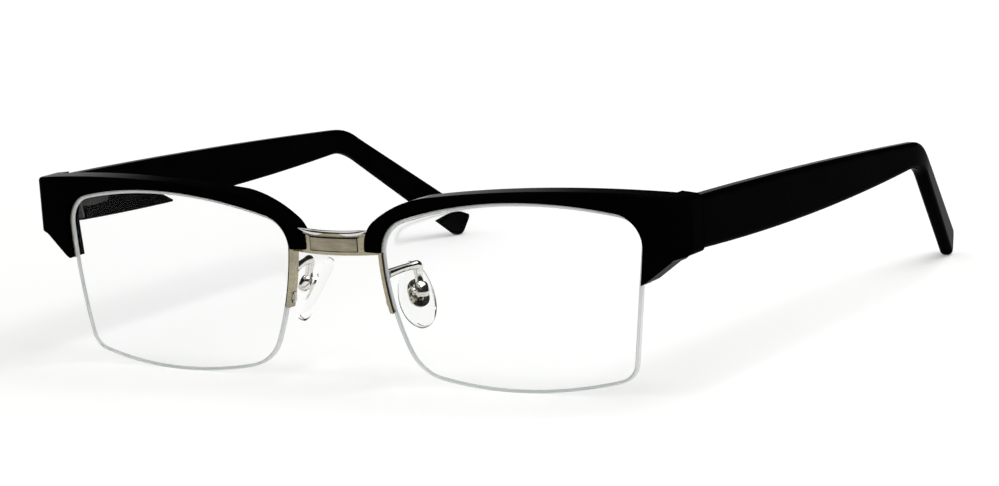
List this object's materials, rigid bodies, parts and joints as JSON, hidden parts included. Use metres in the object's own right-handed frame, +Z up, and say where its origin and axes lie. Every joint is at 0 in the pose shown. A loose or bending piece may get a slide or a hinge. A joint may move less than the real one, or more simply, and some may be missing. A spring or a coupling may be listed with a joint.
{
  "type": "browline glasses",
  "caption": "Half-rim browline glasses with black acetate brows and folding temples on a metal bridge, clear corded lenses and rocking nose pads",
  "frame": {"origin": "centre of the bottom of the box round the open glasses, where lenses and temple tips stand", "axes": "+Z up, -Y the way the front faces, +Y back along the temples, +X the wearer's left"},
  "size_m": [0.1432, 0.1414, 0.0368],
  "materials": {
    "acetate": "polished black acetate",
    "satin_nickel": "satin warm nickel",
    "polished_metal": "polished wire",
    "hinge_steel": "plain machined steel",
    "lens": "clear, uncoated",
    "nylon": "clear nylon",
    "pad_clear": "clear soft pad"
  },
  "bodies": {
    "front": {"bridge": "satin_nickel", "lens_left": "lens", "lens_right": "lens", "rim_bar_left": "satin_nickel", "rim_bar_right": "satin_nickel", "rim_liner_left": "nylon", "rim_liner_right": "nylon", "rim_cord_left": "nylon", "rim_cord_right": "nylon", "hinge_front_left": "hinge_steel", "hinge_front_right": "hinge_steel", "leaf_screw_left": "hinge_steel", "leaf_screw_right": "hinge_steel", "tab_screw_left": "hinge_steel", "tab_screw_right": "hinge_steel", "brow_left": "acetate", "brow_right": "acetate", "pad_box_left": "satin_nickel", "pad_box_right": "satin_nickel", "pad_arm_left": "polished_metal", "pad_arm_right": "polished_metal", "pad_screw_left": "polished_metal", "pad_screw_right": "polished_metal", "hinge_screw_left": "hinge_steel", "hinge_screw_right": "hinge_steel"},
    "left_arm": {"temple_left": "acetate", "hinge_temple_left": "hinge_steel", "core_wire_left": "hinge_steel"},
    "left_pad": {"nose_pad_left": "pad_clear", "pad_plate_left": "satin_nickel"},
    "right_arm": {"temple_right": "acetate", "hinge_temple_right": "hinge_steel", "core_wire_right": "hinge_steel"},
    "right_pad": {"nose_pad_right": "pad_clear", "pad_plate_right": "satin_nickel"}
  },
  "joints": [
    {"name": "left_temple_fold", "type": "hinge", "parent": "front", "child": "left_arm", "pos_m": [0.0663, -0.05963, 0.03043], "axis": [0, 0, 1], "range_deg": [0, 86]},
    {"name": "left_pad_rock", "type": "hinge", "parent": "front", "child": "left_pad", "pos_m": [0.0128, -0.06017, 0.01593], "axis": [-0.5282, -0.8453, 0.0804], "range_deg": [-8, 8]},
    {"name": "right_temple_fold", "type": "hinge", "parent": "front", "child": "right_arm", "pos_m": [-0.0663, -0.05963, 0.03043], "axis": [0, 0, -1], "range_deg": [0, 73]},
    {"name": "right_pad_rock", "type": "hinge", "parent": "front", "child": "right_pad", "pos_m": [-0.0128, -0.06017, 0.01593], "axis": [0.5282, -0.8453, 0.0804], "range_deg": [-8, 8]}
  ]
}
